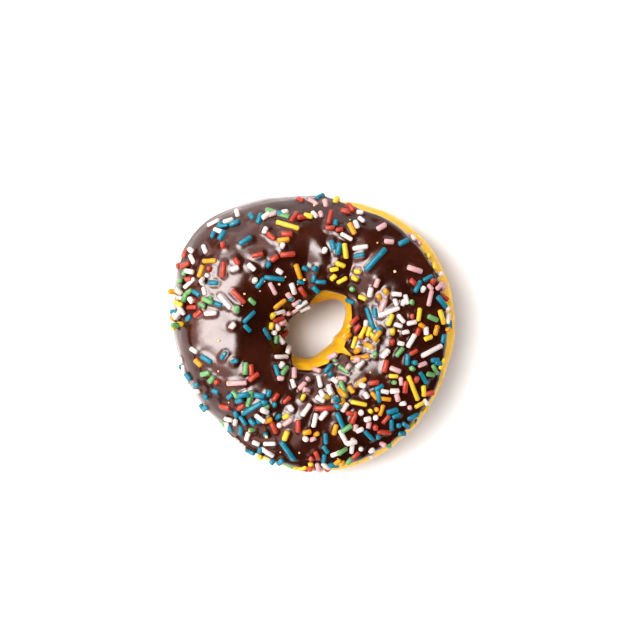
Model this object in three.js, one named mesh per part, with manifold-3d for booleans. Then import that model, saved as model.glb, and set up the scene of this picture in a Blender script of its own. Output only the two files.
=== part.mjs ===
// A ring doughnut, dipped in chocolate icing and strewn with sugar sprinkles.
//
// Millimetres, +Z up. The ring lies flat on the plane z = 0, and its origin is under the
// middle of its bounding box. Places on the ring are given by two angles in degrees:
//   turn   round the ring, from +X towards +Y
//   round  round its section: 0 at the outer belt, 90 on top, 180 at the belt of the hole
import * as THREE from 'three';
import { ParametricGeometry } from 'three/addons/geometries/ParametricGeometry.js';
import { mergeVertices } from 'three/addons/utils/BufferGeometryUtils.js';
import Module from 'manifold-3d';

const wasm = await Module();
wasm.setup();

// ---- Driving dimensions ----

// The fried ring of dough.
const RING_RADIUS = 41.7;
const HOLE_RADIUS = 8.3;
const RING_HEIGHT = 26.5;
const BELT_HEIGHT = 12.4;
const REST_HALF_ANGLE = 20;

// The dipped icing, which lies on the dough with a hair of space between the two.
const ICING_THICKNESS = 1.5;
const ICING_GAP = 0.35;
const ICING_OUTER_EDGE = -11;
const ICING_HOLE_EDGE = 139;

// The sprinkles: short rods of sugar, pressed a little way into the icing.
const SPRINKLE_RADIUS = 0.82;
const SPRINKLE_SINK = 0.35;
const SPRINKLE_SIDES = 5;
const SPRINKLE_END = 0.45;
const SHORTEST_SPRINKLE = 2.2;
const LONGEST_SCATTERED = 4.2;
const MODELLED_SPRINKLES = 160;

// Facets.
const RING_STEPS = 64;
const SECTION_STEPS = 18;
const ICING_TOP_STEPS = 12;
const ICING_UNDER_STEPS = 12;

// ---- Hand-made unevenness ----

// Each swell is centred at a turn, dies away over its width (degrees) and pushes the edge by
// its push: outwards in millimetres for an outline, round the section in degrees for an
// icing edge. A higher power gives a flatter top and steeper flanks.
const OUTLINE_SWELLS = [
  { at: 27, width: 36, push: 2.1 },
  { at: 91, width: 22, push: -2.9 },
  { at: 141, width: 15, push: 2.8 },
  { at: 171, width: 7, push: -0.8 },
  { at: 208, width: 36, push: -4.3 },
  { at: 226, width: 10, push: -1.7 },
  { at: 292, width: 18, push: 0.5 },
];
const HOLE_SWELLS = [
  { at: 42, width: 26, push: 4.6 },
  { at: 188, width: 38, push: 1.7 },
  { at: 308, width: 38, push: -2.2 },
  { at: 348, width: 10, push: -0.7 },
];
const ICING_OUTER_SWELLS = [
  { at: 36, width: 49, push: 48, power: 6 },
  { at: 291, width: 62, push: 40, power: 8 },
  { at: 140, width: 14, push: 14 },
  { at: 176, width: 12, push: 5 },
  { at: 221, width: 8, push: -4 },
];
const ICING_HOLE_SWELLS = [
  { at: 35, width: 28, push: 8 },
  { at: 76, width: 10, push: -4 },
  { at: 162, width: 71, push: 33, power: 8 },
  { at: 329, width: 3.5, push: -14 },
];

// Hollows and ridges of the risen dough, seen from above: centre, half lengths along and
// across, the turn of the long way, and the height added there (below nought for a hollow).
const RELIEF = [
  { x: -1.7, y: 19.5, along: 7, across: 3, turn: 78, height: -1.2 },
  { x: 4.5, y: 24, along: 6, across: 2.6, turn: 95, height: -0.7 },
  { x: 12.3, y: 21.5, along: 5, across: 2.2, turn: 80, height: -0.9 },
  { x: 3.5, y: 23, along: 5, across: 2.4, turn: 95, height: 0.5 },
  { x: -28, y: 4, along: 11, across: 4, turn: 88, height: -0.75 },
  { x: -21, y: 4, along: 11, across: 2.6, turn: 88, height: 0.5 },
  { x: -16, y: 18, along: 6, across: 3, turn: 50, height: 0.5 },
  { x: 17, y: 16, along: 6, across: 3, turn: 35, height: 0.7 },
  { x: 22, y: -1, along: 7, across: 3, turn: 80, height: 0.3 },
  { x: 16, y: -14, along: 7, across: 3, turn: -40, height: 0.4 },
  { x: -1.5, y: -27, along: 6, across: 3, turn: 75, height: 0.6 },
  { x: -9, y: -25, along: 6, across: 3, turn: 70, height: -0.6 },
];

// ---- Sprinkles placed one by one: the long ones, and those that lie on bare icing ----

// x, y, turn, length
const PLACED_SPRINKLES = [
  [-10, 35, -18, 8.1], [-7, 31.5, -17, 7.5], [-11, 16, -6, 6.3], [19, 21.5, 47, 9],
  [-21.5, 10.5, -45, 5.7], [-25.5, 9, -48, 5.7], [17.5, 4, -72, 7.2], [23, 6, 22, 6.9],
  [14.5, -7.5, 8, 6], [35.5, -5.5, 28, 7.8], [30, -16.5, -68, 8.7], [-22, -15, 2, 6.3],
  [-17.5, -22.5, 30, 7.5], [-7, -35, -55, 7.5], [4, -22.5, 3, 6.3], [9.5, -17, -68, 5.7],
  [8.5, -26, -65, 5.4], [9.5, -31, -62, 5.4], [12, -33.5, 85, 5.4], [14, -21, -12, 5.1],
  [35, 10, 77, 5.1], [30.5, 18.5, -18, 5.1], [-18.5, 4.5, 45, 5.1], [-36, 14.5, 42, 5.1],
  [-30, 21, 3, 4.8], [-26, 18.5, 85, 4.8], [5.5, 34, 78, 5.1], [-4, 18, -72, 5.1],
  [-7, 23, 5, 4.8], [10, 24, -82, 4.8], [14.5, 25, 8, 4.8], [-19.5, 27, 30, 4.5],
  [4.5, 12, -30, 4.8], [-11.5, 13, -62, 4.5], [-5.5, 13, -72, 4.1], [-9.5, 8.5, 38, 4.8],
  [-13.5, -0.5, -62, 4.5], [-7, -5.5, 75, 4.2], [-9, -7.5, 0, 4.8], [-31, -8, -30, 4.2],
  [-8, -11.5, 55, 3.9], [-1.5, -23, 55, 4.5], [1, -26, 78, 4.5], [29.5, -2.5, 60, 4.8],
  [38.5, 9, -52, 4.8], [38.5, 4.5, -72, 4.8], [33, -13.5, -58, 4.8], [36.5, -11, -60, 3.9],
  [30, -25, 25, 3.9], [21.5, -29.5, -5, 4.5], [17, -30.5, -45, 4.5], [12.5, -37, 45, 4.8],
  [7, -39, 35, 4.8], [-13, -35.5, -33, 4.8], [-32.5, 18, 70, 4], [0.5, 38.5, -30, 4.2],
  [12, 30.5, -62, 4.2],
];

// ---- Sprinkles thrown by the handful ----

// x and y of its middle, its half widths across and up, and how many it holds
const HANDFULS = [
  [-12, 32, 7, 6.5, 7], [-27, 33, 5, 4, 6], [-31, 20, 8, 6, 13], [-33, 10, 6, 6, 13],
  [-15, 19, 5, 4, 7], [-20, 5, 4, 5, 4], [-7, 5, 4.5, 6, 10], [0, 15, 5, 4, 7],
  [5, 39.5, 8, 1.3, 5], [10, 33, 6, 4, 8], [8, 24, 6, 4, 5], [11, 18, 5, 4, 6],
  [11, 11, 4, 3, 4], [25, 30, 6, 5, 7], [32, 16, 3, 3, 4], [38, 15, 2.6, 7, 9],
  [22, 11, 4, 4, 6], [30, 4, 8, 5, 15], [16, 0, 5, 6, 12], [24, -7, 9, 4, 11],
  [37, -5, 3, 6, 6], [31, -15, 8, 7, 17], [25, -26, 6, 4, 9], [8, -10, 7, 4, 12],
  [12, -20, 10, 6, 21], [13, -32, 9, 5, 14], [2, -38.5, 8, 2.5, 8], [-3, -25, 6, 8, 14],
  [-17, -24, 8, 7, 20], [-14, -36, 8, 3.5, 9], [-26, -11, 9, 4, 9], [-36, -10, 2.5, 7, 4],
  [-30, -20, 5, 4, 5], [-5, -12, 5, 3, 7],
];

// ---- The ring's surface ----

const radians = THREE.MathUtils.degToRad;

function swellAt(turn, swells) {
  let total = 0;
  for (const { at, width, push, power = 2 } of swells) {
    const away = Math.abs(THREE.MathUtils.euclideanModulo(turn - at + 180, 360) - 180);
    total += push * Math.exp(-((away / width) ** power));
  }
  return total;
}

function reliefAt(x, y) {
  let total = 0;
  for (const { x: midX, y: midY, along, across, turn, height } of RELIEF) {
    const cos = Math.cos(radians(turn));
    const sin = Math.sin(radians(turn));
    const lengthwise = ((x - midX) * cos + (y - midY) * sin) / along;
    const sideways = ((y - midY) * cos - (x - midX) * sin) / across;
    total += height * Math.exp(-(lengthwise ** 2 + sideways ** 2));
  }
  return total;
}

// The lower half is drawn a little deeper than the table, and cut off flat where it rests.
const BELLY_DEPTH = BELT_HEIGHT / Math.cos(radians(REST_HALF_ANGLE));

function doughPoint(turn, round) {
  const outer = RING_RADIUS + swellAt(turn, OUTLINE_SWELLS);
  const hole = HOLE_RADIUS + swellAt(turn, HOLE_SWELLS);
  const reach = (outer + hole) / 2 + ((outer - hole) / 2) * Math.cos(radians(round));
  const rise = Math.sin(radians(round));
  const x = reach * Math.cos(radians(turn));
  const y = reach * Math.sin(radians(turn));
  const crown = (RING_HEIGHT - BELT_HEIGHT) * rise + reliefAt(x, y) * rise ** 2;
  const z = rise > 0 ? BELT_HEIGHT + crown : Math.max(0, BELT_HEIGHT + BELLY_DEPTH * rise);
  return new THREE.Vector3(x, y, z);
}

// A point at a height above the dough, square to its surface.
function pointAbove(turn, round, lift) {
  const step = 0.5;
  const along = doughPoint(turn + step, round).sub(doughPoint(turn - step, round));
  const over = doughPoint(turn, round + step).sub(doughPoint(turn, round - step));
  return doughPoint(turn, round).addScaledVector(along.cross(over).normalize(), lift);
}

// ---- Turning surfaces into closed solids ----

// A closed surface is drawn by ParametricGeometry from two shares, each from 0 to 1, and its
// seams are then merged.
function closedSurface(pointAt, aroundSteps, sectionSteps) {
  const draw = (around, section, target) => target.copy(pointAt(around % 1, section % 1));
  const surface = new ParametricGeometry(draw, aroundSteps, sectionSteps);
  surface.deleteAttribute('normal');
  surface.deleteAttribute('uv');
  return mergeVertices(surface, 1e-4);
}

function toManifold(geometry) {
  const vertProperties = new Float32Array(geometry.attributes.position.array);
  const triVerts = new Uint32Array(geometry.index.array);
  return new wasm.Manifold(new wasm.Mesh({ numProp: 3, vertProperties, triVerts }));
}

function toGeometry(manifold) {
  const { vertProperties, triVerts } = manifold.getMesh();
  const geometry = new THREE.BufferGeometry();
  geometry.setAttribute('position', new THREE.BufferAttribute(vertProperties, 3));
  geometry.setIndex(new THREE.BufferAttribute(triVerts, 1));
  geometry.computeVertexNormals();
  return geometry;
}

// ---- Dough and icing ----

function doughRing(lift = 0) {
  const pointAt = (around, section) => pointAbove(360 * around, 360 * section, lift);
  return closedSurface(pointAt, RING_STEPS, SECTION_STEPS);
}

// The icing's section runs over the top from its outer edge to its edge in the hole, bunching
// up at both to round the lips, and comes back along the dough.
const ICING_TOP_SHARE = ICING_TOP_STEPS / (ICING_TOP_STEPS + ICING_UNDER_STEPS);
const LIP_FULLNESS = 0.4;

function icingPoint(around, section) {
  const turn = 360 * around;
  const outerEdge = ICING_OUTER_EDGE + swellAt(turn, ICING_OUTER_SWELLS);
  const holeEdge = ICING_HOLE_EDGE + swellAt(turn, ICING_HOLE_SWELLS);
  if (section >= ICING_TOP_SHARE) {
    const back = (section - ICING_TOP_SHARE) / (1 - ICING_TOP_SHARE);
    return pointAbove(turn, THREE.MathUtils.lerp(holeEdge, outerEdge, back), ICING_GAP);
  }
  const sweep = (Math.PI * section) / ICING_TOP_SHARE;
  const round = THREE.MathUtils.lerp(outerEdge, holeEdge, (1 - Math.cos(sweep)) / 2);
  return pointAbove(turn, round, ICING_GAP + ICING_THICKNESS * Math.sin(sweep) ** LIP_FULLNESS);
}

function icingSkin() {
  return closedSurface(icingPoint, RING_STEPS, ICING_TOP_STEPS + ICING_UNDER_STEPS);
}

// ---- Sprinkles ----

// Each scattered sprinkle has a little random stream of its own, so that one drawn again
// leaves all the others where they are.
function randomStream(seed) {
  let state = Math.imul(seed, 2654435761) >>> 0;
  return () => {
    state = (Math.imul(state, 1664525) + 1013904223) >>> 0;
    return state / 2 ** 32;
  };
}

// How near two sprinkles' middle lines come, seen from above.
function spacing(one, other) {
  const halfLength = ({ length }) => length / 2 - SPRINKLE_RADIUS;
  let nearest = Infinity;
  for (const share of [-1, -0.5, 0, 0.5, 1]) {
    for (const [from, to] of [[one, other], [other, one]]) {
      const x = from.x + share * halfLength(from) * Math.cos(radians(from.turn)) - to.x;
      const y = from.y + share * halfLength(from) * Math.sin(radians(from.turn)) - to.y;
      const cos = Math.cos(radians(to.turn));
      const sin = Math.sin(radians(to.turn));
      const past = Math.max(0, Math.abs(x * cos + y * sin) - halfLength(to));
      nearest = Math.min(nearest, Math.hypot(past, y * cos - x * sin));
    }
  }
  return nearest;
}

const CLOSEST_SPACING = 1.3;
const TRIES = 14;

function scatterSprinkles() {
  const scattered = PLACED_SPRINKLES.map(([x, y, turn, length]) => ({ x, y, turn, length }));
  HANDFULS.forEach(([midX, midY, halfWidth, halfHeight, count], handful) => {
    for (let number = 0; number < count; number += 1) {
      const random = randomStream(1000 * (handful + 1) + number);
      random();
      for (let tried = 0; tried < TRIES; tried += 1) {
        const spread = 1.15 * Math.sqrt(random());
        const way = 2 * Math.PI * random();
        const turn = 180 * random();
        const length = SHORTEST_SPRINKLE + (LONGEST_SCATTERED - SHORTEST_SPRINKLE) * random() ** 1.3;
        const x = midX + halfWidth * spread * Math.cos(way);
        const y = midY + halfHeight * spread * Math.sin(way);
        const sprinkle = { x, y, turn, length };
        if (scattered.every((other) => spacing(sprinkle, other) > CLOSEST_SPACING)) {
          scattered.push(sprinkle);
          break;
        }
      }
    }
  });
  return scattered;
}

// A sprinkle is let fall on the icing from above. One that would miss it is passed over.
function dropOnto(surface, x, y) {
  const fromAbove = new THREE.Raycaster(new THREE.Vector3(x, y, 100), new THREE.Vector3(0, 0, -1));
  return fromAbove.intersectObject(surface)[0];
}

function sprinkleSolid({ x, y, turn, length }, surface) {
  const reach = length / 2 - SPRINKLE_RADIUS;
  const way = new THREE.Vector2(Math.cos(radians(turn)), Math.sin(radians(turn)));
  const middle = dropOnto(surface, x, y);
  const tip = dropOnto(surface, x + reach * way.x, y + reach * way.y);
  const tail = dropOnto(surface, x - reach * way.x, y - reach * way.y);
  if (!middle || !tip || !tail) {
    return null;
  }
  const end = SPRINKLE_END * SPRINKLE_RADIUS;
  const profile = [
    new THREE.Vector2(0, -length / 2),
    new THREE.Vector2(SPRINKLE_RADIUS, end - length / 2),
    new THREE.Vector2(SPRINKLE_RADIUS, length / 2 - end),
    new THREE.Vector2(0, length / 2),
  ];
  const rod = new THREE.LatheGeometry(profile, SPRINKLE_SIDES);
  const axis = tip.point.clone().sub(tail.point).normalize();
  rod.applyQuaternion(new THREE.Quaternion().setFromUnitVectors(new THREE.Vector3(0, 1, 0), axis));
  const seat = middle.point.addScaledVector(middle.face.normal, SPRINKLE_RADIUS * (1 - 2 * SPRINKLE_SINK));
  rod.translate(seat.x, seat.y, seat.z);
  rod.deleteAttribute('normal');
  rod.deleteAttribute('uv');
  return toManifold(mergeVertices(rod, 1e-4));
}

// The longest sprinkles are fused to the icing first. One that would reach the dough is left out.
function icingWithSprinkles() {
  const skin = icingSkin();
  const surface = new THREE.Mesh(skin);
  const doughWithRoom = toManifold(doughRing(ICING_GAP / 2));
  const longestFirst = scatterSprinkles().sort((one, other) => other.length - one.length);
  let fused = toManifold(skin);
  let modelled = 0;
  for (const sprinkle of longestFirst) {
    const solid = modelled < MODELLED_SPRINKLES ? sprinkleSolid(sprinkle, surface) : null;
    if (solid && solid.intersect(doughWithRoom).isEmpty()) {
      fused = fused.add(solid);
      modelled += 1;
    }
  }
  return toGeometry(fused);
}

// ---- The doughnut ----

function namedMesh(name, geometry, material) {
  const mesh = new THREE.Mesh(geometry, new THREE.MeshStandardMaterial(material));
  mesh.name = name;
  return mesh;
}

const doughnut = new THREE.Group();
doughnut.add(
  namedMesh('dough_ring', toGeometry(toManifold(doughRing())),
    { color: 0xe0a032, roughness: 0.6, metalness: 0 }),
  namedMesh('chocolate_icing', icingWithSprinkles(),
    { color: 0x4a1f16, roughness: 0.25, metalness: 0 }),
);

// The origin is under the middle of the bounding box, on the plane that the ring rests on.
const middle = new THREE.Box3().setFromObject(doughnut).getCenter(new THREE.Vector3());
doughnut.position.set(-middle.x, -middle.y, 0);

export default doughnut;
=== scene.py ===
# %% [markdown]
# # A sprinkle frosted doughnut
#
# Three things make this doughnut: a fried ring of dough, the dark chocolate icing that its
# top was dipped into, and the sugar sprinkles that fell on the icing while it was wet. We
# make them in that order, each from the one before, as a baker does. Sizes are in
# millimetres, measured from the middle of the ring and from the table up, and are turned
# into Blender's metres at the last moment.

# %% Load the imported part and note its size
import math

import bmesh
import bpy
import numpy as np
from mathutils import Matrix, Quaternion, Vector
from mathutils.bvhtree import BVHTree


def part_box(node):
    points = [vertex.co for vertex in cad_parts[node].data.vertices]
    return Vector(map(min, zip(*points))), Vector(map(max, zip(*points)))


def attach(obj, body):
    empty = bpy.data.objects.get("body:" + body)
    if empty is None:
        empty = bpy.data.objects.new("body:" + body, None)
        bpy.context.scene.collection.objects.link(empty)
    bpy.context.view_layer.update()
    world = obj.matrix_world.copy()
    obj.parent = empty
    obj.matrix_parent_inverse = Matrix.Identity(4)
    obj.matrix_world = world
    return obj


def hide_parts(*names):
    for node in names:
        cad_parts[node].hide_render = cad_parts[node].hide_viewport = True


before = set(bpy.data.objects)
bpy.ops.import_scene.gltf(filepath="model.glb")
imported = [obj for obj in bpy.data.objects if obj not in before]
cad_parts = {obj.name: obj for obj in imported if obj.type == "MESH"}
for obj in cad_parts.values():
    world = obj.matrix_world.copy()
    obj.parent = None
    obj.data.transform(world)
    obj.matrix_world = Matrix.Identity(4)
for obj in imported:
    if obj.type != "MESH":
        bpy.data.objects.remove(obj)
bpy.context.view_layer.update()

MM = 0.001
print("frame nodes:", sorted(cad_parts))

# %% [markdown]
# ## The shape of the ring
#
# A ring doughnut is cut as a plain ring, but it swells as it rises, shifts as it is moved,
# and never stays round. So the shape is a function: a turn round the ring and an angle
# round its section go in, and a point comes out. The outline, the hole and the edges of
# the icing each get a few swells, bell curves centred on a turn, and the top gets a few
# hollows and ridges seen from above. The same function shapes the dough and the icing, so
# that the icing always fits the dough below it.

# %% Driving sizes of the dough and the icing
RING_RADIUS = 41.7
HOLE_RADIUS = 8.3
RING_HEIGHT = 26.5
BELT_HEIGHT = 12.4
REST_HALF_ANGLE = 20

ICING_THICKNESS = 1.5
ICING_GAP = 0.35
ICING_OUTER_EDGE = -11
ICING_HOLE_EDGE = 139

# at (degrees), width (degrees), push (mm, or degrees for an icing edge), power
OUTLINE_SWELLS = [
    (27, 36, 2.1, 2),
    (91, 22, -2.9, 2),
    (141, 15, 2.8, 2),
    (171, 7, -0.8, 2),
    (208, 36, -4.3, 2),
    (226, 10, -1.7, 2),
    (292, 18, 0.5, 2),
]
HOLE_SWELLS = [(42, 26, 4.6, 2), (188, 38, 1.7, 2), (308, 38, -2.2, 2), (348, 10, -0.7, 2)]
ICING_OUTER_SWELLS = [
    (36, 49, 48, 6),
    (291, 62, 40, 8),
    (140, 14, 14, 2),
    (176, 12, 5, 2),
    (221, 8, -4, 2),
]
ICING_HOLE_SWELLS = [
    (35, 28, 8, 2),
    (76, 10, -4, 2),
    (162, 71, 33, 8),
    (329, 3.5, -14, 2),
]

# x, y, half length along, half length across, turn of the long way, height
RELIEF = [
    (-1.7, 19.5, 7, 3, 78, -1.2),
    (4.5, 24, 6, 2.6, 95, -0.7),
    (12.3, 21.5, 5, 2.2, 80, -0.9),
    (3.5, 23, 5, 2.4, 95, 0.5),
    (-28, 4, 11, 4, 88, -0.75),
    (-21, 4, 11, 2.6, 88, 0.5),
    (-16, 18, 6, 3, 50, 0.5),
    (17, 16, 6, 3, 35, 0.7),
    (22, -1, 7, 3, 80, 0.3),
    (16, -14, 7, 3, -40, 0.4),
    (-1.5, -27, 6, 3, 75, 0.6),
    (-9, -25, 6, 3, 70, -0.6),
]


# %% The shape as a function
WAVES = 28


def swell(turn, swells):
    total = np.zeros_like(turn)
    for at, width, push, power in swells:
        away = np.abs((turn - at + 180) % 360 - 180)
        total += push * np.exp(-((away / width) ** power))
    return total


def relief(x, y, forms=RELIEF):
    total = np.zeros_like(x)
    for mid_x, mid_y, along, across, turn, height in forms:
        cos, sin = math.cos(math.radians(turn)), math.sin(math.radians(turn))
        lengthwise = ((x - mid_x) * cos + (y - mid_y) * sin) / along
        sideways = ((y - mid_y) * cos - (x - mid_x) * sin) / across
        total += height * np.exp(-(lengthwise**2 + sideways**2))
    return total


def dough_points(turn, round_):
    """Points on the dough for turns round the ring and angles round its section."""
    outer = RING_RADIUS + swell(turn, OUTLINE_SWELLS)
    hole = HOLE_RADIUS + swell(turn, HOLE_SWELLS)
    reach = (outer + hole) / 2 + (outer - hole) / 2 * np.cos(np.radians(round_))
    rise = np.sin(np.radians(round_))
    x = reach * np.cos(np.radians(turn))
    y = reach * np.sin(np.radians(turn))
    crown = (RING_HEIGHT - BELT_HEIGHT) * rise + relief(x, y) * rise**2
    belly = BELT_HEIGHT / math.cos(math.radians(REST_HALF_ANGLE)) * rise
    z = BELT_HEIGHT + np.where(rise > 0, crown, np.maximum(belly, -BELT_HEIGHT))
    return np.stack([x, y, z], axis=1)


def points_above(turn, round_, lift):
    """Points at a height above the dough, square to its surface."""
    step = 0.5
    along = dough_points(turn + step, round_) - dough_points(turn - step, round_)
    over = dough_points(turn, round_ + step) - dough_points(turn, round_ - step)
    square = np.cross(along, over)
    square /= np.linalg.norm(square, axis=1)[:, None]
    return dough_points(turn, round_) + square * lift[:, None]


def lumps(points, size, seed):
    """Smooth random lumps of about this size, mostly from -1 to 1: many crossing waves."""
    draw = np.random.default_rng(seed)
    ways = draw.normal(size=(3, WAVES))
    ways *= draw.uniform(0.6, 1.4, WAVES) * math.pi / size / np.linalg.norm(ways, axis=0)
    return np.cos(points @ ways + draw.uniform(0, math.tau, WAVES)).sum(axis=1) / math.sqrt(WAVES)


crest = dough_points(np.arange(0.0, 360.0, 5.0), np.full(72, 90.0))
print("crest of the ring, mm:", crest[:, 2].min().round(1), "to", crest[:, 2].max().round(1))


# %% [markdown]
# ## A ring to shape
#
# Both the dough and the icing are rings, so both start from the same thing: a circle spun
# round the axis into a plain ring. Each vertex then knows its turn and its angle round the
# section, and the shape function moves it to its real place. The spin's `use_merge` closes
# the ring, and the normals are made to point outwards afterwards.

# %% Spin a plain ring
PLAIN_RADIUS = 3


def plain_ring(ring_steps, section_steps):
    """A bmesh ring, and for each vertex its share round the ring and round the section."""
    ring = bmesh.new()
    section = bmesh.ops.create_circle(ring, segments=section_steps, radius=1.0)
    upright = Matrix.Translation((PLAIN_RADIUS, 0, 0)) @ Matrix.Rotation(math.radians(90), 4, "X")
    bmesh.ops.transform(ring, matrix=upright, verts=section["verts"])
    bmesh.ops.spin(
        ring, geom=ring.verts[:] + ring.edges[:], axis=(0, 0, 1), cent=(0, 0, 0),
        steps=ring_steps, angle=math.tau, use_merge=True,
    )
    bmesh.ops.remove_doubles(ring, verts=ring.verts[:], dist=1e-6)
    place = np.array([v.co for v in ring.verts])
    out = np.hypot(place[:, 0], place[:, 1]) - PLAIN_RADIUS
    round_share = np.arctan2(place[:, 2], out) / math.tau % 1
    turn_share = np.arctan2(place[:, 1], place[:, 0]) / math.tau % 1
    return ring, turn_share, np.where(round_share > 1 - 1e-6, 0, round_share)


def place_vertices(shape, points):
    """Moves a bmesh's vertices to points in the frame, and turns its faces outwards."""
    for vertex, point in zip(shape.verts, points):
        vertex.co = point
    bmesh.ops.recalc_face_normals(shape, faces=shape.faces[:])


def finished_piece(name, shape, material):
    """A smooth-shaded object from a bmesh that is already in its place."""
    mesh = bpy.data.meshes.new(name)
    shape.to_mesh(mesh)
    shape.free()
    for polygon in mesh.polygons:
        polygon.use_smooth = True
    mesh.materials.append(material)
    piece = bpy.data.objects.new(name, mesh)
    bpy.context.scene.collection.objects.link(piece)
    print(name, "has", sum(len(p.vertices) - 2 for p in mesh.polygons), "triangles")
    return piece


# %% Where the middle of the ring is in the frame
low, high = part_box("dough_ring")
outline_turns = np.arange(0.0, 360.0, 0.5)
outline = dough_points(outline_turns, np.zeros_like(outline_turns))
outline_middle = (outline.min(axis=0) + outline.max(axis=0)) / 2
RING_MIDDLE = np.array([(low.x + high.x) / 2, (low.y + high.y) / 2, 0]) - MM * outline_middle
RING_MIDDLE[2] = low.z


def in_frame(points):
    return points * MM + RING_MIDDLE


print("middle of the ring in the frame, mm:", (RING_MIDDLE / MM).round(2))


# %% [markdown]
# ## Writing materials as sums
#
# Shader nodes are easier to read as sums than as wires. `Wire` wraps the output of a node,
# and adding or multiplying two wires adds the Math node that does it. Every other node
# comes from one method, `Finish.node`, which takes the node's type, its settings and what
# goes into its sockets.

# %% The Wire and Finish helpers
class Wire:
    """The output of a shader node, which can be used in a Python sum."""

    def __init__(self, finish, socket):
        self.finish = finish
        self.socket = socket

    def math(self, operation, first, second):
        return self.finish.node("Math", {"operation": operation}, {0: first, 1: second})

    def __add__(self, other):
        return self.math("ADD", self, other)

    def __radd__(self, other):
        return self.math("ADD", other, self)

    def __sub__(self, other):
        return self.math("SUBTRACT", self, other)

    def __rsub__(self, other):
        return self.math("SUBTRACT", other, self)

    def __mul__(self, other):
        return self.math("MULTIPLY", self, other)

    def __rmul__(self, other):
        return self.math("MULTIPLY", other, self)

    def __abs__(self):
        return self.math("ABSOLUTE", self, 0.0)

    def between(self, start, end):
        """0 at start, 1 at end, with a smooth step between and flat beyond."""
        settings = {"interpolation_type": "SMOOTHSTEP"}
        return self.finish.node("MapRange", settings, {0: self, 1: start, 2: end})


class Finish:
    """A material, with one method that adds any node to it."""

    def __init__(self, name):
        self.material = bpy.data.materials.new(name)
        self.material.use_nodes = True
        self.tree = self.material.node_tree
        self.tree.nodes.clear()

    def node(self, kind, settings=None, inputs=None, output=0):
        node = self.tree.nodes.new("ShaderNode" + kind)
        for name, value in (settings or {}).items():
            setattr(node, name, value)
        for name, value in (inputs or {}).items():
            if isinstance(value, Wire):
                self.tree.links.new(value.socket, node.inputs[name])
            else:
                node.inputs[name].default_value = value
        return Wire(self, node.outputs[output])

    def place(self):
        """Object coordinates, in metres in the frame."""
        return self.node("TexCoord", output="Object")

    def noise(self, size, detail=3.0, roughness=0.5, stretch=None):
        """Soft noise from 0 to 1 with lumps of about this size in millimetres."""
        place = self.place()
        if stretch:
            place = self.node("Mapping", None, {0: place, "Scale": stretch})
        inputs = {"Vector": place, "Scale": 1 / (size * MM), "Detail": detail,
                  "Roughness": roughness}
        return self.node("TexNoise", None, inputs)

    def blend(self, share, first, second):
        """One colour turning into another as share goes from 0 to 1."""
        settings = {"data_type": "RGBA"}
        return self.node("Mix", settings, {0: share, 6: first, 7: second}, output=2)

    def bump(self, height, distance, below=None):
        """A normal from a height from 0 to 1, worth a distance in millimetres."""
        inputs = {"Height": height, "Distance": distance * MM, "Strength": 1.0}
        if below:
            inputs["Normal"] = below
        return self.node("Bump", None, inputs)

    def surface(self, **inputs):
        """The one shader, wired to the output. Underlines in names stand for spaces."""
        named = {name.replace("_", " "): value for name, value in inputs.items()}
        shader = self.node("BsdfPrincipled", None, named)
        self.node_output(shader)
        return self.material

    def node_output(self, shader):
        output = self.tree.nodes.new("ShaderNodeOutputMaterial")
        self.tree.links.new(shader.socket, output.inputs["Surface"])


def colour(red, green, blue):
    """A colour read from 0 to 255, as the linear light that shaders use."""
    def light(value):
        share = value / 255
        return share / 12.92 if share <= 0.04045 else ((share + 0.055) / 1.055) ** 2.4
    return (light(red), light(green), light(blue), 1.0)


# %% [markdown]
# ## Fried dough
#
# The ring floats on the oil and is turned once, so its top and its belly are fried golden
# brown, its underside the deeper, as that lies in the oil first and longest. A belt round
# the middle never lies in the oil and stays pale. The crust is mottled and finely wrinkled,
# with a slight oily gloss. The belt is a mask on height, and noise makes its edges wander
# as real ones do.

# %% The crust's finish
def fried_crust():
    finish = Finish("fried_crust")
    place = finish.place()
    height = finish.node("SeparateXYZ", None, {0: place}, output=2)
    wander = (finish.noise(14) - 0.5) * (5 * MM)
    from_belt = abs(height - (BELT_HEIGHT + 0.6) * MM + wander)
    baked = from_belt.between(0.6 * MM, 3.8 * MM)
    deep = from_belt.between(7 * MM, 12.5 * MM)
    under = (BELT_HEIGHT * MM - height + wander).between(1.5 * MM, 8 * MM)
    mottling = finish.noise(5, detail=4, roughness=0.6)
    specks = finish.noise(1.3, detail=2)
    golden = finish.blend(mottling.between(0.3, 0.7), colour(220, 168, 36), colour(228, 184, 56))
    brown = finish.blend(mottling.between(0.35, 0.65), colour(190, 129, 20), colour(208, 153, 32))
    patches = mottling.between(0.3, 0.7)
    fried_first = finish.blend(patches, colour(158, 100, 42), colour(184, 124, 56))
    crust = finish.blend(deep * 0.75, golden, brown)
    crust = finish.blend(under * 0.85, crust, fried_first)
    crust = finish.blend(specks.between(0.58, 0.75) * 0.2, crust, colour(140, 74, 16))
    skin = finish.blend(baked, colour(236, 192, 104), crust)
    wrinkles = finish.noise(2.2, detail=5, roughness=0.62, stretch=(1, 1, 1.8))
    grain = finish.noise(0.5, detail=3, roughness=0.6)
    relief_ = finish.bump(grain, 0.05, below=finish.bump(wrinkles, 0.35))
    return finish.surface(
        Base_Color=skin,
        Roughness=0.42 + mottling * 0.2,
        Normal=relief_,
        Subsurface_Weight=0.3,
        Subsurface_Radius=(1.0, 0.6, 0.2),
        Subsurface_Scale=3.5 * MM,
        Specular_IOR_Level=0.45,
    )


# %% Shape the dough
DOUGH_RING_STEPS = 400
DOUGH_SECTION_STEPS = 144
BLISTER_HEIGHT = 0.16
CRUST_INSET = 0.05
FLAT_MARGIN = 6

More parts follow.
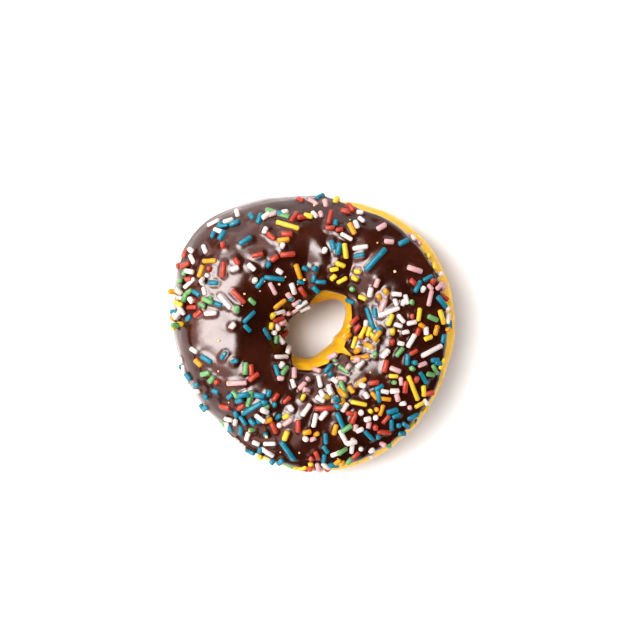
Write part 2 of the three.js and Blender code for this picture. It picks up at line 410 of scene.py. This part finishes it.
dough_shape, turn_share, round_share = plain_ring(DOUGH_RING_STEPS, DOUGH_SECTION_STEPS)
dough_turns = 360 * turn_share
dough_rounds = 360 * round_share
smooth_dough = dough_points(dough_turns, dough_rounds)
blisters = (lumps(smooth_dough, 6, 1) + 0.45 * lumps(smooth_dough, 2.6, 2)
            + 0.25 * lumps(smooth_dough, 1.2, 3))
resting = np.sin(np.radians(dough_rounds)) < -math.cos(math.radians(REST_HALF_ANGLE + FLAT_MARGIN))
blisters = np.where(resting, 0, blisters)
crust_lift = BLISTER_HEIGHT * blisters - CRUST_INSET
dough_surface = points_above(dough_turns, dough_rounds, crust_lift)
place_vertices(dough_shape, dough_surface)
dough_tree = BVHTree.FromBMesh(dough_shape)
place_vertices(dough_shape, in_frame(dough_surface))
dough = finished_piece("fried_ring", dough_shape, fried_crust())
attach(dough, "root")
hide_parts("dough_ring")

# %% [markdown]
# ## Chocolate icing
#
# Dipping leaves a coat about a millimetre and a half thick, which runs down one side past
# the belt, stops high on the other, and ends in a rounded lip. The icing is spun as a ring
# too. Most of its section runs over the top, bunched up at both lips where the curve is
# tight, and the rest comes back just inside the dough, so that no light shows between.

# %% The icing's section
ICING_RING_STEPS = 560
ICING_SECTION_STEPS = 168
ICING_TOP_SHARE = 0.9
LIP_BUNCHING = 0.35
LIP_WIDTH = 1.9
SECTION_RADIUS = 15
LIP_BEAD = 0.25
# where the icing ran back from its outer edge and set in a ridge: turn, width, height, power
LIP_RIDGES = [(40, 20, 0.9, 2), (318, 22, 0.25, 2)]
RIDGE_SETBACK = 1.6
ICING_ROOT_DEPTH = -0.25
OUTER_EDGE_WOBBLE = 1.3
HOLE_EDGE_WOBBLE = 1.2
# where it pooled as it ran, in the form of RELIEF
ICING_RUNS = [(-34.5, -9, 12, 3.6, 104, 0.75)]


def edge_wander(turn, seed, size):
    """A wobble along an edge, mostly from -1 to 1, that meets itself after a full turn."""
    rim = 10 * np.stack([np.cos(np.radians(turn)), np.sin(np.radians(turn)), 0 * turn], axis=1)
    return 0.7 * lumps(rim, size, seed) + 0.3 * lumps(rim, size / 2.5, seed + 1)


def icing_points(turn_share, section_share, extra_lift=0.0):
    turn = 360 * turn_share
    outer = ICING_OUTER_EDGE + swell(turn, ICING_OUTER_SWELLS)
    outer += OUTER_EDGE_WOBBLE * edge_wander(turn, 11, 2.4)
    hole = ICING_HOLE_EDGE + swell(turn, ICING_HOLE_SWELLS)
    hole += HOLE_EDGE_WOBBLE * edge_wander(turn, 13, 3.0)
    on_top = section_share < ICING_TOP_SHARE
    across = np.clip(section_share / ICING_TOP_SHARE, 0, 1)
    across = across - LIP_BUNCHING * np.sin(math.tau * across) / math.tau
    back = (section_share - ICING_TOP_SHARE) / (1 - ICING_TOP_SHARE)
    round_ = np.where(on_top, outer + (hole - outer) * across, hole + (outer - hole) * back)
    arc = np.radians(hole - outer) * SECTION_RADIUS
    ridge = np.where(across < 0.5, swell(turn, LIP_RIDGES), 0)
    from_lip = np.minimum(across, 1 - across) * arc / (LIP_WIDTH + RIDGE_SETBACK * ridge)
    rounded = np.sqrt(1 - (1 - np.clip(from_lip, 0, 1)) ** 2)
    bead = (LIP_BEAD + ridge) * np.exp(-(((from_lip - 1) / 0.6) ** 2)) * rounded
    top_lift = ICING_GAP + (ICING_THICKNESS + extra_lift) * rounded + bead
    lift = np.where(on_top, top_lift, ICING_ROOT_DEPTH)
    return points_above(turn, round_, lift)


# %% Shape the icing
icing_shape, icing_turn_share, icing_round_share = plain_ring(ICING_RING_STEPS, ICING_SECTION_STEPS)
smooth_icing = icing_points(icing_turn_share, icing_round_share)
waviness = (0.15 * lumps(smooth_icing, 9, 21) + 0.07 * lumps(smooth_icing, 4, 22)
            + 0.02 * lumps(smooth_icing, 1.8, 23))
waviness += relief(smooth_icing[:, 0], smooth_icing[:, 1], ICING_RUNS)
icing_surface = icing_points(icing_turn_share, icing_round_share, waviness)
place_vertices(icing_shape, icing_surface)
icing_tree = BVHTree.FromBMesh(icing_shape)
print("icing runs from", icing_surface[:, 2].min().round(1), "to",
      icing_surface[:, 2].max().round(1), "mm above the table")

# %% [markdown]
# ## Where the sprinkles lie
#
# Sprinkles fall in handfuls, so that is how they are placed: each handful has a middle, a
# spread, a count and the colours it held. The long ones, and those that lie alone on bare
# icing, are placed one by one first. Each scattered sprinkle draws from a random stream of
# its own, and one that would land on another is thrown again.

# %% The placed sprinkles and the handfuls
SPRINKLE_RADIUS = 0.82
SPRINKLE_SINK = 0.35
SHORTEST_SPRINKLE = 2.2
LONGEST_SCATTERED = 4.2
CLOSEST_SPACING = 1.3
TRIES = 14
HANDFUL_REACH = 1.15
# above one, so that short sprinkles are the more common
SHORTNESS = 1.3

# x, y, turn, length, colour
PLACED_SPRINKLES = [
    (-10, 35, -18, 8.1, "green"), (-7, 31.5, -17, 7.5, "yellow"), (-11, 16, -6, 6.3, "blue"),
    (19, 21.5, 47, 9, "blue"), (-21.5, 10.5, -45, 5.7, "red"), (-25.5, 9, -48, 5.7, "white"),
    (17.5, 4, -72, 7.2, "blue"), (23, 6, 22, 6.9, "white"), (14.5, -7.5, 8, 6, "orange"),
    (35.5, -5.5, 28, 7.8, "white"), (30, -16.5, -68, 8.7, "yellow"), (-22, -15, 2, 6.3, "pink"),
    (-17.5, -22.5, 30, 7.5, "blue"), (-7, -35, -55, 7.5, "blue"), (4, -22.5, 3, 6.3, "red"),
    (9.5, -17, -68, 5.7, "green"), (8.5, -26, -65, 5.4, "blue"), (9.5, -31, -62, 5.4, "white"),
    (12, -33.5, 85, 5.4, "white"), (14, -21, -12, 5.1, "yellow"), (35, 10, 77, 5.1, "pink"),
    (30.5, 18.5, -18, 5.1, "pink"), (-18.5, 4.5, 45, 5.1, "blue"), (-36, 14.5, 42, 5.1, "white"),
    (-30, 21, 3, 4.8, "orange"), (-26, 18.5, 85, 4.8, "red"), (5.5, 34, 78, 5.1, "red"),
    (-4, 18, -72, 5.1, "orange"), (-7, 23, 5, 4.8, "red"), (10, 24, -82, 4.8, "yellow"),
    (14.5, 25, 8, 4.8, "white"), (-19.5, 27, 30, 4.5, "blue"), (4.5, 12, -30, 4.8, "yellow"),
    (-11.5, 13, -62, 4.5, "pink"), (-5.5, 13, -72, 4.1, "white"), (-9.5, 8.5, 38, 4.8, "orange"),
    (-13.5, -0.5, -62, 4.5, "blue"), (-7, -5.5, 75, 4.2, "white"), (-9, -7.5, 0, 4.8, "white"),
    (-31, -8, -30, 4.2, "blue"), (-8, -11.5, 55, 3.9, "green"), (-1.5, -23, 55, 4.5, "white"),
    (1, -26, 78, 4.5, "white"), (29.5, -2.5, 60, 4.8, "white"), (38.5, 9, -52, 4.8, "blue"),
    (38.5, 4.5, -72, 4.8, "yellow"), (33, -13.5, -58, 4.8, "blue"),
    (36.5, -11, -60, 3.9, "green"), (30, -25, 25, 3.9, "blue"), (21.5, -29.5, -5, 4.5, "red"),
    (17, -30.5, -45, 4.5, "blue"), (12.5, -37, 45, 4.8, "red"), (7, -39, 35, 4.8, "orange"),
    (-13, -35.5, -33, 4.8, "white"), (-32.5, 18, 70, 4, "orange"), (0.5, 38.5, -30, 4.2, "pink"),
    (12, 30.5, -62, 4.2, "orange"),
]

# x and y of its middle, half widths across and up, how many, and the colours it held
HANDFULS = [
    (-12, 32, 7, 6.5, 7, "red blue blue white orange"),
    (-27, 33, 5, 4, 6, "blue blue white pink"),
    (-31, 20, 8, 6, 13, "red blue white white green"),
    (-33, 10, 6, 6, 13, "green blue white red green"),
    (-15, 19, 5, 4, 7, "white white blue red"),
    (-20, 5, 4, 5, 4, "green white blue blue"),
    (-7, 5, 4.5, 6, 10, "red pink pink yellow white blue green"),
    (0, 15, 5, 4, 7, "blue blue green red"),
    (5, 39.5, 8, 1.3, 5, "red yellow blue pink"),
    (10, 33, 6, 4, 8, "red orange blue red white"),
    (8, 24, 6, 4, 5, "red blue blue white"),
    (11, 18, 5, 4, 6, "pink blue orange white pink yellow"),
    (11, 11, 4, 3, 4, "green blue orange yellow"),
    (25, 30, 6, 5, 7, "green pink pink white blue"),
    (32, 16, 3, 3, 4, "blue yellow red white"),
    (38, 15, 2.6, 7, 9, "yellow white red orange pink yellow"),
    (22, 11, 4, 4, 6, "orange blue pink white"),
    (30, 4, 8, 5, 15, "yellow blue white orange red green"),
    (16, 0, 5, 6, 12, "yellow red blue white yellow"),
    (24, -7, 9, 4, 11, "white blue red green pink"),
    (37, -5, 3, 6, 6, "white yellow pink blue"),
    (31, -15, 8, 7, 17, "white yellow blue pink green red"),
    (25, -26, 6, 4, 9, "blue white yellow blue red"),
    (8, -10, 7, 4, 12, "white green pink blue orange pink"),
    (12, -20, 10, 6, 21, "orange white white blue red yellow white"),
    (13, -32, 9, 5, 14, "white blue pink white green orange"),
    (2, -38.5, 8, 2.5, 8, "yellow white red blue white"),
    (-3, -25, 6, 8, 14, "blue white yellow red orange pink"),
    (-17, -24, 8, 7, 20, "blue white blue orange green red"),
    (-14, -36, 8, 3.5, 9, "blue white blue yellow orange"),
    (-26, -11, 9, 4, 9, "blue green red orange white red"),
    (-36, -10, 2.5, 7, 4, "white blue"),
    (-30, -20, 5, 4, 5, "blue white blue"),
    (-5, -12, 5, 3, 7, "red pink blue white"),
]


# %% Throw the handfuls
def random_stream(seed):
    state = seed * 2654435761 % 2**32
    while True:
        state = (state * 1664525 + 1013904223) % 2**32
        yield state / 2**32


def spacing(one, other):
    """How near two sprinkles' middle lines come, seen from above."""
    nearest = math.inf
    for start, to in ((one, other), (other, one)):
        cos, sin = math.cos(math.radians(to["turn"])), math.sin(math.radians(to["turn"]))
        start_cos = math.cos(math.radians(start["turn"]))
        start_sin = math.sin(math.radians(start["turn"]))
        start_half = start["length"] / 2 - SPRINKLE_RADIUS
        for share in (-1, -0.5, 0, 0.5, 1):
            x = start["x"] + share * start_half * start_cos - to["x"]
            y = start["y"] + share * start_half * start_sin - to["y"]
            past = max(0, abs(x * cos + y * sin) - (to["length"] / 2 - SPRINKLE_RADIUS))
            nearest = min(nearest, math.hypot(past, y * cos - x * sin))
    return nearest


def thrown_sprinkle(handful, stream, others):
    """One sprinkle of a handful, thrown until it lands clear, or None."""
    mid_x, mid_y, half_width, half_height, _, colours = handful
    for _ in range(TRIES):
        spread = HANDFUL_REACH * math.sqrt(next(stream))
        way = math.tau * next(stream)
        turn = 180 * next(stream)
        longer = (LONGEST_SCATTERED - SHORTEST_SPRINKLE) * next(stream) ** SHORTNESS
        sprinkle = {
            "x": mid_x + half_width * spread * math.cos(way),
            "y": mid_y + half_height * spread * math.sin(way),
            "turn": turn,
            "length": SHORTEST_SPRINKLE + longer,
        }
        if all(spacing(sprinkle, other) > CLOSEST_SPACING for other in others):
            choices = colours.split()
            sprinkle["colour"] = choices[int(next(stream) * len(choices))]
            return sprinkle
    return None


sprinkles = [
    dict(zip(("x", "y", "turn", "length", "colour"), placed)) for placed in PLACED_SPRINKLES
]
for handful_number, handful in enumerate(HANDFULS, start=1):
    for number in range(handful[4]):
        stream = random_stream(1000 * handful_number + number)
        next(stream)
        sprinkle = thrown_sprinkle(handful, stream, sprinkles)
        if sprinkle:
            sprinkles.append(sprinkle)
print("sprinkles:", len(sprinkles))


# %% [markdown]
# ## A sprinkle
#
# A sprinkle is a thread of sugar paste, cut while soft, so it is a rod with blunt rounded
# ends, hardly ever quite straight. A sphere with an uneven number of rings has no vertices
# on its equator, so pulling its two halves apart makes a rod with no extra faces.

# %% Make one sprinkle
SPRINKLE_SIDES = 10
SPRINKLE_RINGS = 7
END_BLUNTNESS = 0.62


def add_sprinkle(shape, sprinkle):
    made = bmesh.ops.create_uvsphere(
        shape, u_segments=SPRINKLE_SIDES, v_segments=SPRINKLE_RINGS, radius=SPRINKLE_RADIUS)
    reach = sprinkle["length"] / 2 - SPRINKLE_RADIUS * END_BLUNTNESS
    turn_up = Quaternion((0, 0, 1), sprinkle["roll"])
    lie = sprinkle["axis"].to_track_quat("Z", "Y") @ turn_up
    for vertex in made["verts"]:
        x, y, z = vertex.co
        along = math.copysign(reach + abs(z) * END_BLUNTNESS, z)
        sag = sprinkle["bend"] * (1 - (along / reach) ** 2)
        around = Vector((x, y, 0)) * sprinkle["thickness"] + Vector((sag, 0, along))
        vertex.co = lie @ around + sprinkle["seat"]


# %% [markdown]
# ## Coming to rest
#
# A sprinkle falls straight down until its middle and one end or both meet what lies below,
# which is the wet icing, or, for the last ones thrown, the sprinkles that are there already.
# On icing it sinks in by a third of its thickness. Some of the shortest stand up in it
# instead of lying down. Others bounced off the tray and clung to the ring's steep outer
# sides, most of all at its left. Each of those has to touch the ring, or one that is there
# before it, so that none hangs in the air. A few more are heaped on the brink of the hole.

# %% Find the ground below
DROP_HEIGHT = 100


def falling(ground, x, y):
    """Where something that falls at x, y meets the ground, and the way the ground faces."""
    hits = [tree.ray_cast(Vector((x, y, DROP_HEIGHT)), Vector((0, 0, -1))) for tree in ground]
    met = [hit for hit in hits if hit[0]]
    return max(met, key=lambda hit: hit[0].z)[:2] if met else (None, None)


# %% Lay the sprinkles down
STANDING_LENGTH = 2.75
STANDING_SHARE = 0.55
LEAST_TILT = 40
TILT_RANGE = 40
THINNEST = 0.88
THICKNESS_RANGE = 0.22
BEND_RANGE = 0.3


def shaped(sprinkle, place, facing, axis, lift, stream):
    """Fills in a sprinkle's seat and axis, in millimetres, and its own small differences."""
    sprinkle["thickness"] = THINNEST + THICKNESS_RANGE * next(stream)
    sprinkle["bend"] = BEND_RANGE * (next(stream) - 0.5)
    sprinkle["roll"] = math.tau * next(stream)
    sprinkle["axis"] = axis.normalized()
    sprinkle["seat"] = place + facing * lift
    return sprinkle


def laid_down(sprinkle, ground, sink, stream):
    """A sprinkle at rest on the ground, or None if less than half of it would lie there."""
    reach = sprinkle["length"] / 2 - SPRINKLE_RADIUS
    turn = math.radians(sprinkle["turn"])
    end_x, end_y = reach * math.cos(turn), reach * math.sin(turn)
    middle, facing = falling(ground, sprinkle["x"], sprinkle["y"])
    tip, _ = falling(ground, sprinkle["x"] + end_x, sprinkle["y"] + end_y)
    tail, _ = falling(ground, sprinkle["x"] - end_x, sprinkle["y"] - end_y)
    if not middle or not (tip or tail):
        return None
    tip, tail = tip or middle, tail or middle
    lift = SPRINKLE_RADIUS * (1 - 2 * sink)
    axis = (tip - tail).normalized()
    if len(ground) > 1:
        bridge = (tip + tail) / 2
        middle = Vector((middle.x, middle.y, max(middle.z, bridge.z)))
        facing = Vector((0, 0, 1))
    elif sprinkle["length"] < STANDING_LENGTH and next(stream) < STANDING_SHARE:
        steepness = math.radians(LEAST_TILT + TILT_RANGE * next(stream))
        axis = axis * math.cos(steepness) + facing * math.sin(steepness)
        lift += 0.7 * reach * math.sin(steepness)
    return shaped(sprinkle, middle, facing, axis, lift, stream)


ground = [icing_tree]
stream = random_stream(77)
lying = [laid_down(sprinkle, ground, SPRINKLE_SINK, stream) for sprinkle in sprinkles]
lying = [sprinkle for sprinkle in lying if sprinkle]
print("sprinkles on the icing:", len(lying))

# %% Throw a few more on top of them
TOP_SINK = 0.06
# x and y of its middle, half widths across and up, how many, and the colours it held
TOP_HANDFULS = [
    (12, -21, 9, 7, 7, "white red white blue orange"),
    (11, -33, 6, 4, 4, "white white green"),
    (16, 4, 3, 4, 4, "yellow red yellow red"),
    (28, 5, 6, 5, 2, "white blue yellow"),
    (-33, 12, 4, 5, 5, "white green green"),
    (-18, -22, 6, 6, 10, "blue blue blue white"),
    (9, -10, 5, 3, 3, "white pink"),
    (15, -1, 4, 5, 5, "yellow red blue orange white"),
    (3, -15, 4, 3, 4, "white pink white"),
]

pile = bmesh.new()
for sprinkle in lying:
    add_sprinkle(pile, sprinkle)
ground.append(BVHTree.FromBMesh(pile))
pile.free()

on_top = []
for handful_number, handful in enumerate(TOP_HANDFULS, start=101):
    for number in range(handful[4]):
        thrown = thrown_sprinkle(handful, random_stream(1000 * handful_number + number), on_top)
        if thrown and laid_down(thrown, ground, TOP_SINK, stream):
            on_top.append(thrown)
print("sprinkles on top of others:", len(on_top))

# %% Let some cling to the steep outer sides
# Turn and height of its middle, half widths round the ring and up, how many, how deep they
# are heaped, and the colours it held
RIM_HANDFULS = [
    (170, 18, 8, 4, 24, 2.4, "white white yellow white green white yellow orange white blue"),
    (197, 15, 3, 4, 3, 0.3, "white blue"),
    (214, 13, 2, 3, 1, 0.3, "blue"),
    (158, 21, 7, 2, 6, 0.5, "green white green red"),
    (128, 22, 8, 2, 5, 0.5, "white pink blue"),
    (100, 23, 16, 2.5, 9, 0.5, "blue pink red blue yellow white"),
    (42, 22, 3, 1, 4, 0.4, "pink pink yellow white"),
    (22, 23.5, 13, 1.5, 6, 0.8, "yellow red yellow pink orange white"),
    (-5, 22.5, 12, 1.5, 4, 0.5, "blue orange green white yellow"),
    (-27, 21.5, 11, 2, 3, 0.5, "yellow white red"),
    (-52, 21, 13, 2, 3, 0.5, "blue yellow white"),
    (-85, 21, 18, 2, 14, 0.5, "blue yellow white green pink orange red"),
    (-123, 21, 13, 2.5, 8, 0.5, "white blue yellow white"),
]
# x, y, height, turn, slope, length and colour of those heaped on the brink of the hole
HOLE_SPRINKLES = [
    (-6.3, 9.8, 24, 0, 60, 2.4, "blue"),
    (-4.4, 8.7, 22.4, 32, 0, 3.3, "pink"),
    (-2.9, 8.1, 21.6, 32, 0, 4.2, "white"),
    (-1.9, 6.9, 19.5, 25, 5, 3.6, "white"),
    (-9.6, 5.8, 22.8, 15, -25, 4.2, "white"),
    (-7.1, 5.5, 20.5, 0, 60, 2.4, "pink"),
    (-9.9, 3.8, 22.2, 18, -25, 4, "red"),
    (-8.6, 2.9, 20.8, 30, -20, 2.6, "pink"),
    (-11.9, 1.8, 23.3, 80, 10, 2.4, "yellow"),
    (-11.2, -0.2, 22.3, 0, 65, 2.6, "white"),
    (-10.2, 1.5, 21.5, -60, 0, 2.6, "white"),
    (-10.5, -2.2, 21.6, 85, 0, 2.8, "green"),
    (-9.2, -2.3, 19.8, -50, 0, 3.4, "white"),
]
CLOSEST_SEATS = 1.8
HOLDING_DISTANCE = 1.8 * SPRINKLE_RADIUS
THROW_DISTANCE = 60
STEEPNESS_PER_DEPTH = 60
CLINGING_RANGE = 1.6


def clinging(handful, stream):
    """A sprinkle that flew level against the outer side of the ring, and stuck as it came."""
    turn, height, half_width, half_height, _, depth, colours = handful
    turn += half_width * (2 * next(stream) - 1)
    height += half_height * (2 * next(stream) - 1)
    out = Vector((math.cos(math.radians(turn)), math.sin(math.radians(turn)), 0))
    start = out * THROW_DISTANCE + Vector((0, 0, height))
    hits = [tree.ray_cast(start, -out) for tree in sides]
    place, facing, _, _ = min((hit for hit in hits if hit[0]), key=lambda hit: hit[3])
    flat = facing.orthogonal().normalized()
    flat.rotate(Quaternion(facing, math.tau * next(stream)))
    lift = SPRINKLE_RADIUS * (1 - 2 * SPRINKLE_SINK) + depth * next(stream)
    steepness = math.radians(STEEPNESS_PER_DEPTH * depth * (next(stream) - 0.3))
    axis = flat * math.cos(steepness) + facing * math.sin(steepness)
    choices = colours.split()
    sprinkle = {
        "length": SHORTEST_SPRINKLE + CLINGING_RANGE * next(stream),
        "colour": choices[int(next(stream) * len(choices))],
    }
    return shaped(sprinkle, place, facing, axis, lift, stream)


def middle_points(sprinkle):
    """Five points along the middle line of a sprinkle."""
    reach = sprinkle["length"] / 2 - SPRINKLE_RADIUS
    return [sprinkle["seat"] + sprinkle["axis"] * reach * part for part in (-1, -0.5, 0, 0.5, 1)]


def is_held(sprinkle, others):
    """Whether a sprinkle touches the ring, or one of those that are there before it."""
    points = middle_points(sprinkle)
    to_ring = min(tree.find_nearest(point)[3] for tree in sides for point in points)
    theirs = [place for other in others for place in middle_points(other)]
    gaps = ((point - place).length for point in points for place in theirs)
    return to_ring < SPRINKLE_RADIUS or min(gaps, default=math.inf) < HOLDING_DISTANCE


sides = [icing_tree, dough_tree]
at_side = []
for handful_number, handful in enumerate(RIM_HANDFULS, start=201):
    for number in range(handful[4]):
        stream = random_stream(1000 * handful_number + number)
        next(stream)
        for _ in range(TRIES):
            sprinkle = clinging(handful, stream)
            away = [(sprinkle["seat"] - other["seat"]).length for other in at_side]
            if min(away, default=math.inf) > CLOSEST_SEATS and is_held(sprinkle, at_side):
                at_side.append(sprinkle)
                break
for x, y, height, turn, slope, length, colour_name in HOLE_SPRINKLES:
    level, upright = math.cos(math.radians(slope)), math.sin(math.radians(slope))
    cos, sin = math.cos(math.radians(turn)), math.sin(math.radians(turn))
    sprinkle = {"length": length, "colour": colour_name}
    axis = Vector((level * cos, level * sin, upright))
    at_side.append(shaped(sprinkle, Vector((x, y, height)), Vector(), axis, 0, stream))
print("sprinkles at the sides:", len(at_side))


# %% [markdown]
# ## Sugar
#
# Each colour is a finish of its own: dyed sugar with a waxy shine, a little light inside,
# and a fine chalky grain.

# %% The sprinkles' finish
SUGAR_COLOURS = {
    "white": colour(203, 190, 184),
    "pink": colour(192, 151, 149),
    "blue": colour(20, 115, 132),
    "green": colour(104, 148, 98),
    "red": colour(161, 64, 45),
    "orange": colour(196, 138, 26),
    "yellow": colour(206, 174, 54),
}


def sugar(name, tint):
    finish = Finish("sugar_" + name)
    cloud = finish.noise(1.4, detail=3)
    chalk = tuple(0.7 * channel + 0.3 * 0.8 for channel in tint[:3]) + (1.0,)
    dyed = finish.blend(cloud.between(0.5, 0.85) * 0.35, tint, chalk)
    grain = finish.noise(0.22, detail=3, roughness=0.6)
    return finish.surface(
        Base_Color=dyed,
        Roughness=0.34 + cloud * 0.18,
        Normal=finish.bump(grain, 0.03),
        Subsurface_Weight=0.15,
        Subsurface_Radius=(1.0, 0.8, 0.6),
        Subsurface_Scale=0.5 * MM,
    )


# %% Make all sprinkles, a piece for each colour
TO_FRAME = Matrix.Translation(RING_MIDDLE) @ Matrix.Scale(MM, 4)


def decorate(name, shape, material):
    """Moves a shape in millimetres into the frame, as one of the icing's own pieces."""
    bmesh.ops.transform(shape, matrix=TO_FRAME, verts=shape.verts[:])
    bmesh.ops.recalc_face_normals(shape, faces=shape.faces[:])
    piece = finished_piece(name, shape, material)
    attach(piece, "root")
    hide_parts("chocolate_icing")


for name, tint in SUGAR_COLOURS.items():
    shape = bmesh.new()
    for sprinkle in lying + on_top + at_side:
        if sprinkle["colour"] == name:
            add_sprinkle(shape, sprinkle)
    decorate(name + "_sprinkles", shape, sugar(name, tint))

# %% Scatter the crumbs that broke off them
CRUMBS = 34
SMALLEST_CRUMB = 0.22
LARGEST_CRUMB = 0.5
CRUMB_SEED = 9000

crumb_shape = bmesh.new()
for number in range(CRUMBS):
    stream = random_stream(CRUMB_SEED + number)
    next(stream)
    reach = RING_RADIUS * (0.35 + 0.6 * next(stream))
    way = math.tau * next(stream)
    place, facing = falling(ground, reach * math.cos(way), reach * math.sin(way))
    if place:
        size = SMALLEST_CRUMB + (LARGEST_CRUMB - SMALLEST_CRUMB) * next(stream) ** 2
        made = bmesh.ops.create_icosphere(crumb_shape, subdivisions=2, radius=size)
        for vertex in made["verts"]:
            vertex.co = vertex.co * (0.8 + 0.4 * next(stream)) + place + facing * size * 0.4
decorate("sugar_crumbs", crumb_shape, sugar("crumbs", colour(226, 186, 140)))

# %% [markdown]
# ## Wet icing climbs
#
# Icing that was wet when the sprinkles fell creeps up against their sides and sets as a
# small fillet. So the icing's vertices near a sprinkle are lifted a little, most right
# beside it, before the icing is finished.

# %% Lift the icing beside each sprinkle
FILLET_HEIGHT = 0.26
FILLET_WIDTH = 0.7
FILLET_REACH = 3.5


def fillets(points):
    """How much each point of the icing is lifted by the sprinkles round it."""
    lift = np.zeros(len(points))
    for sprinkle in lying:
        seat = np.array(sprinkle["seat"])
        axis = np.array(sprinkle["axis"])
        reach = sprinkle["length"] / 2 - SPRINKLE_RADIUS
        near = np.flatnonzero(np.abs(points - seat).max(axis=1) < reach + FILLET_REACH)
        away = points[near] - seat
        along = np.clip(away @ axis, -reach, reach)
        distance = np.linalg.norm(away - along[:, None] * axis, axis=1)
        beside = np.clip((distance - SPRINKLE_RADIUS) / FILLET_WIDTH, 0, None)
        lift[near] = np.maximum(lift[near], FILLET_HEIGHT * np.exp(-(beside**2)))
    return lift


icing_lift = fillets(icing_surface)
outside = icing_round_share < ICING_TOP_SHARE
raised = icing_points(icing_turn_share, icing_round_share, waviness + icing_lift * outside)
place_vertices(icing_shape, in_frame(raised))
print("icing raised by up to", icing_lift.max().round(2), "mm")


# %% The icing's finish
def chocolate_icing():
    finish = Finish("chocolate_icing")
    cloud = finish.noise(9, detail=3)
    cocoa = finish.blend(cloud.between(0.35, 0.7), colour(52, 19, 6), colour(66, 27, 9))
    ripples = finish.noise(3.2, detail=2, roughness=0.4)
    pits = finish.noise(0.7, detail=2)
    return finish.surface(
        Base_Color=cocoa,
        Roughness=0.235 + cloud * 0.06,
        Normal=finish.bump(pits, 0.012, below=finish.bump(ripples, 0.09)),
        Subsurface_Weight=0.04,
        Subsurface_Radius=(1.0, 0.4, 0.25),
        Subsurface_Scale=0.8 * MM,
        Specular_IOR_Level=0.5,
        Coat_Weight=0.35,
        Coat_Roughness=0.10,
    )


icing = finished_piece("icing_coat", icing_shape, chocolate_icing())
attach(icing, "root")
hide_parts("chocolate_icing")


# %% [markdown]
# ## A table, a window and a camera
#
# Glossy icing looks like whatever it mirrors, so the lights are placed for what each slope
# sees. One large window, high at the left and brightest in its middle, gives the soft
# highlights. Slopes that face left, front or back mirror a pale ceiling and walls, and those
# that face right mirror a dark room. The white table and the dough need more light than that,
# from all round, so Cycles' ray visibility splits the lights: some fill without being
# mirrored, and some are only mirrored. The brightness of a light is given as what a mirror
# would show, where the white table is about one.

# %% The table
TABLE_HALF_WIDTH = 1.5


def white_table():
    return Finish("white_table").surface(Base_Color=colour(236, 235, 235), Roughness=0.6)


table_shape = bmesh.new()
bmesh.ops.create_grid(table_shape, x_segments=2, y_segments=2, size=TABLE_HALF_WIDTH)
table = finished_piece("table_top", table_shape, white_table())


# %% The window
COOL = (0.90, 0.94, 1.0)
WARM = (1.0, 0.78, 0.75)
ROSY = (1.0, 0.62, 0.56)
DUSKY = (1.0, 0.45, 0.35)
LIT_POINT = Vector((0, 0, 0.015))


def soft_light(name, brightness, size, place, tint=(1.0, 1.0, 1.0)):
    """A glowing panel that faces the doughnut. Sizes and places are in metres."""
    lamp = bpy.data.lights.new(name, "AREA")
    lamp.shape = "RECTANGLE"
    lamp.size, lamp.size_y = size
    lamp.energy = brightness * math.pi * size[0] * size[1]
    lamp.color = tint
    light = bpy.data.objects.new(name, lamp)
    light.location = place
    light.rotation_euler = (LIT_POINT - Vector(place)).to_track_quat("-Z", "Y").to_euler()
    bpy.context.scene.collection.objects.link(light)
    return light


# three panels, one behind the other, so that the window fades towards its edges
WINDOW_BRIGHTNESS = 3.3
WINDOW_HEIGHT = 1.06
PANEL_GAP = 0.01
WINDOW_SIZE = (0.75, 0.85)
WINDOW_SHARES = (0.6, 0.85, 1.1)
for part, share in enumerate(WINDOW_SHARES, start=1):
    size = (WINDOW_SIZE[0] * share, WINDOW_SIZE[1] * share)
    place = (-0.53, 0.12, WINDOW_HEIGHT + PANEL_GAP * part)
    soft_light("window_" + str(part), WINDOW_BRIGHTNESS, size, place)
soft_light("back_wall", 1.4, (3.0, 0.9), (0.0, 1.6, 0.46), COOL)

# %% The lights that fill without being mirrored, and those that are only mirrored
for fill in (
    soft_light("front_fill", 2.5, (2.6, 1.0), (-0.9, -1.6, 0.51), COOL),
    soft_light("top_fill", 0.9, (1.0, 1.0), (0.15, 0.05, 1.25)),
    soft_light("left_fill", 1.35, (3.0, 1.1), (-1.6, 0.2, 0.56)),
    soft_light("right_fill", 1.0, (2.6, 1.3), (1.45, -0.15, 0.68), COOL),
):
    fill.visible_glossy = False
for mirrored in (
    soft_light("far_wall", 0.24, (1.8, 1.6), (0.8, 0.9, 0.9), DUSKY),
    soft_light("front_wall", 2.5, (2.6, 1.0), (-0.9, -1.6, 0.51), WARM),
    soft_light("left_wall", 1.6, (3.0, 1.1), (-1.6, 0.2, 0.56), ROSY),
    soft_light("pale_ceiling", 1.8, (5.0, 1.7), (-0.95, 0.1, 1.15), WARM),
):
    mirrored.visible_diffuse = False

# %% The faint light of the rest of the room
ROOM_BRIGHTNESS = 0.05

world = bpy.data.worlds.new("room")
world.use_nodes = True
background = world.node_tree.nodes["Background"]
background.inputs["Color"].default_value = (0.93, 0.96, 1.0, 1.0)
background.inputs["Strength"].default_value = ROOM_BRIGHTNESS
bpy.context.scene.world = world

# %% The camera, straight above
FRAME_WIDTH = 192.0
CAMERA_HEIGHT = 1000.0
FRAME_MIDDLE = (2.55, 3.6, 13.0)

camera_data = bpy.data.cameras.new("overhead")
camera_data.sensor_width = 36
camera_data.lens = 36 * CAMERA_HEIGHT / FRAME_WIDTH
camera = bpy.data.objects.new("overhead", camera_data)
camera.location = Vector(in_frame(np.array(FRAME_MIDDLE) + (0, 0, CAMERA_HEIGHT)))
bpy.context.scene.collection.objects.link(camera)
bpy.context.scene.camera = camera
bpy.context.scene.view_settings.view_transform = "Standard"
bpy.context.scene.view_settings.look = "High Contrast"
